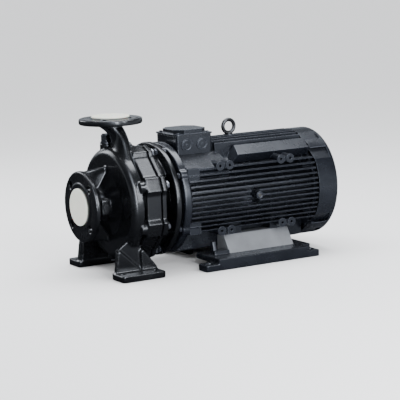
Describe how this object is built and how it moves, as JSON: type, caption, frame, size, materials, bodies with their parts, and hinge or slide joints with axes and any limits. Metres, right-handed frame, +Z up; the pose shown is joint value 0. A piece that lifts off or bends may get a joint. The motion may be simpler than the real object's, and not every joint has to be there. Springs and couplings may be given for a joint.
{
  "type": "monoblock pump",
  "caption": "Close-coupled end-suction centrifugal pump with volute casing, finned motor, terminal box, motor feet on rails and transport caps.",
  "frame": {"origin": "on the floor, under the point where the shaft axis and the discharge axis cross; the centre of the pump feet's bolt rectangle", "axes": "+X along the shaft from the suction flange to the fan, +Z up along the discharge axis, +Y to the far side of the picture"},
  "size_m": [0.7203, 0.352, 0.4093],
  "materials": {
    "casing_paint": "satin",
    "motor_paint": "satin",
    "web_grey": "satin",
    "cap_plastic": "matte",
    "plated_steel": "satin",
    "eye_paint": "satin",
    "black_plastic": "matte",
    "bronze": "satin",
    "shaft_steel": "satin",
    "brass_cage": "satin",
    "impeller_iron": "matte",
    "core_steel": "satin",
    "copper": "satin",
    "aluminium": "satin",
    "rubber": "matte",
    "seal_ceramic": "satin"
  },
  "bodies": {
    "pump": {"volute_casing": "casing_paint", "priming_plug": "plated_steel", "gauge_plug": "plated_steel", "drain_plug": "plated_steel", "wear_ring": "bronze", "seal_cover": "casing_paint", "casing_o_ring": "rubber", "seal_seat": "seal_ceramic", "motor_adapter": "casing_paint", "casing_bolts": "plated_steel", "casing_washers": "plated_steel", "adapter_bolts": "plated_steel", "drive_end_shield": "motor_paint", "shield_bolts_front": "plated_steel", "motor_frame": "motor_paint", "stator_core": "core_steel", "stator_windings": "copper", "drive_bearing_outer": "shaft_steel", "fan_bearing_outer": "shaft_steel", "wave_spring": "plated_steel", "bearing_cover": "motor_paint", "fan_end_shield": "motor_paint", "shield_bolts_rear": "plated_steel", "fan_cowl": "motor_paint", "cowl_screws": "plated_steel", "eye_bolt": "eye_paint", "terminal_box": "motor_paint", "terminal_gasket": "rubber", "terminal_lid": "motor_paint", "lid_screws": "plated_steel", "cable_entry_plugs": "black_plastic", "terminal_board": "black_plastic", "terminal_studs": "bronze", "near_motor_foot": "web_grey", "far_motor_foot": "web_grey", "near_support_rail": "motor_paint", "far_support_rail": "motor_paint", "foot_bolts": "plated_steel"},
    "rotor": {"motor_shaft": "shaft_steel", "rotor_core": "core_steel", "rotor_end_rings": "aluminium", "impeller": "impeller_iron", "impeller_key": "shaft_steel", "impeller_washer": "plated_steel", "impeller_nut": "plated_steel", "seal_face": "seal_ceramic", "seal_bellows": "rubber", "seal_collar": "shaft_steel", "water_slinger": "rubber", "drive_bearing_inner": "shaft_steel", "fan_bearing_inner": "shaft_steel", "cooling_fan": "black_plastic", "fan_clip": "plated_steel"},
    "drive_balls": {"drive_bearing_balls": "shaft_steel", "drive_bearing_cage": "brass_cage"},
    "fan_balls": {"fan_bearing_balls": "shaft_steel", "fan_bearing_cage": "brass_cage"},
    "suction_cap_body": {"suction_cap": "cap_plastic"},
    "discharge_cap_body": {"discharge_cap": "cap_plastic"}
  },
  "joints": [
    {"name": "shaft_spin", "type": "hinge", "parent": "pump", "child": "rotor", "pos_m": [0, 0, 0.18], "axis": [1, 0, 0], "continuous": true},
    {"name": "drive_balls_spin", "type": "hinge", "parent": "pump", "child": "drive_balls", "pos_m": [0.1435, 0, 0.18], "axis": [1, 0, 0], "continuous": true},
    {"name": "fan_balls_spin", "type": "hinge", "parent": "pump", "child": "fan_balls", "pos_m": [0.5405, 0, 0.18], "axis": [1, 0, 0], "continuous": true},
    {"name": "suction_cap_pull", "type": "slide", "parent": "pump", "child": "suction_cap_body", "axis": [-1, 0, 0], "range_m": [0, 0.04]},
    {"name": "discharge_cap_pull", "type": "slide", "parent": "pump", "child": "discharge_cap_body", "axis": [0, 0, 1], "range_m": [0, 0.04]}
  ],
  "couplings": [
    {"joint": "drive_balls_spin", "follows": "shaft_spin", "ratio": 0.38},
    {"joint": "fan_balls_spin", "follows": "shaft_spin", "ratio": 0.403}
  ]
}
